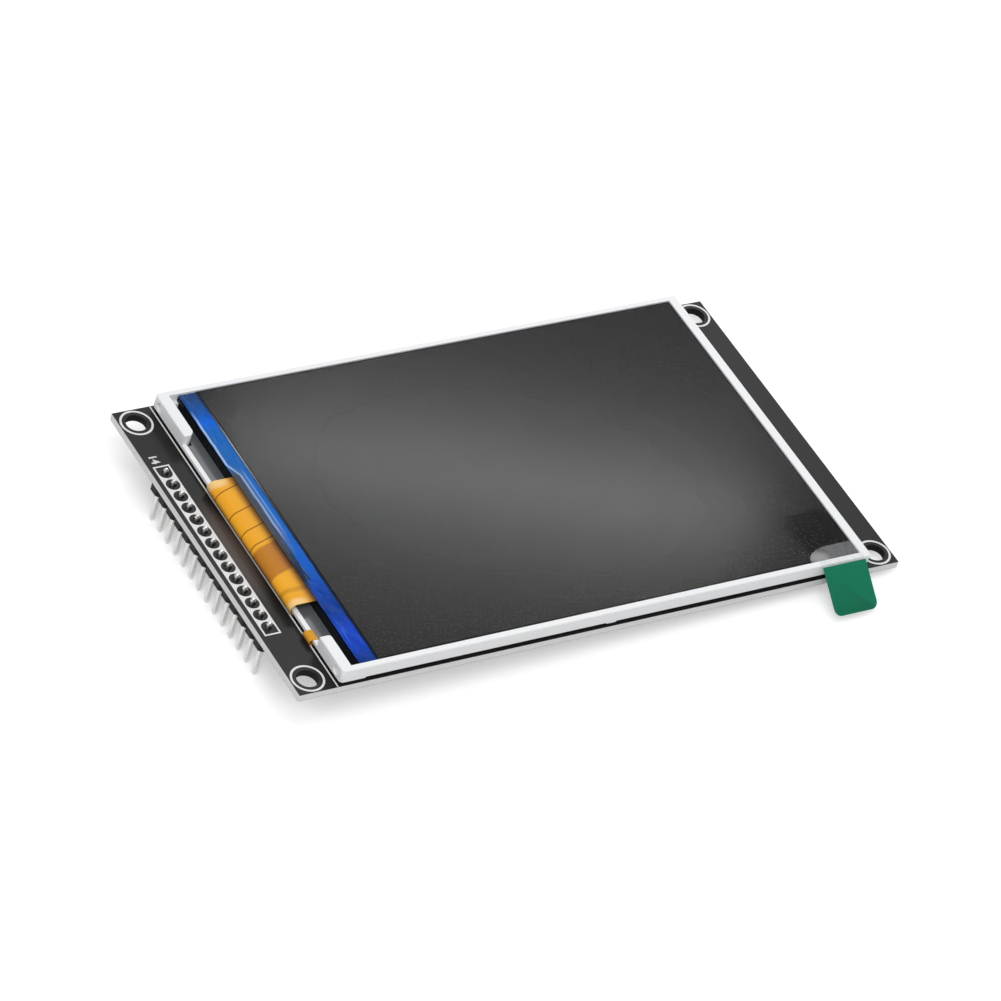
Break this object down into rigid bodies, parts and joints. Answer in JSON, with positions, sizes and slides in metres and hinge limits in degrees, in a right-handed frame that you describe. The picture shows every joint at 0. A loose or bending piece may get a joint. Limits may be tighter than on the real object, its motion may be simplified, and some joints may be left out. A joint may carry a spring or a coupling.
{
  "type": "tft display module",
  "caption": "Colour display module: black circuit board with a backlit glass panel in a white frame, an amber flex, a pin header, a flat-cable socket and a card socket.",
  "frame": {"origin": "centre of the four mounting holes, on the board's back face", "axes": "+X along the board away from the pin header, +Y across it, +Z out of the screen"},
  "size_m": [0.1064, 0.0669, 0.0126],
  "materials": {
    "board_mask": "glossy black solder mask over glass epoxy, pale bare edges",
    "header_plastic": "moulded black nylon",
    "gold_plate": "gold flash over brass",
    "solder": "bright tin solder",
    "foam": "black foam tape",
    "frame_plastic": "white moulded polycarbonate, slightly glossy",
    "reflector": "grey reflector sheet",
    "acrylic": "clear light guide",
    "polyimide": "amber polyimide flex with copper under it",
    "led_package": "white package with yellow phosphor",
    "optical_film": "hazy white film",
    "shade": "black tape",
    "polarizer": "dark grey polarizer",
    "panel_glass": "dark display glass, black matrix beneath",
    "cover_film": "clear film over the dark screen, dark grey in reflection",
    "tab_film": "green printed film with a clear root",
    "blue_film": "blue film, wrinkled",
    "chip_plastic": "moulded epoxy",
    "socket_plastic": "cream high-temperature plastic",
    "latch_plastic": "dark brown high-temperature plastic",
    "shell_steel": "tin-plated sheet steel",
    "tin": "tinned terminals",
    "ceramic": "tan ceramic"
  },
  "bodies": {
    "module": {"pcb": "board_mask", "header_body": "header_plastic", "header_pins": "gold_plate", "solder_joints": "solder", "foam_tape": "foam", "backlight_frame": "frame_plastic", "reflector_sheet": "reflector", "light_guide": "acrylic", "led_strip": "polyimide", "leds": "led_package", "diffuser_film": "optical_film", "lower_prism_film": "optical_film", "upper_prism_film": "optical_film", "shade_tape": "shade", "rear_polarizer": "polarizer", "tft_glass": "panel_glass", "filter_glass": "panel_glass", "front_polarizer": "polarizer", "cover_film": "cover_film", "pull_tab": "tab_film", "driver_chip": "chip_plastic", "ledge_film": "blue_film", "display_flex": "polyimide", "socket_housing": "socket_plastic", "socket_contacts": "gold_plate", "card_shell": "shell_steel", "card_base": "chip_plastic", "card_contacts": "gold_plate", "regulator": "chip_plastic", "transistor": "chip_plastic", "chip_leads": "tin", "capacitors": "ceramic", "resistors": "chip_plastic", "chip_ends": "tin"},
    "latch": {"socket_latch": "latch_plastic"}
  },
  "joints": [
    {"name": "latch_slide", "type": "slide", "parent": "module", "child": "latch", "axis": [1, 0, 0], "range_m": [0, 0.001]}
  ]
}
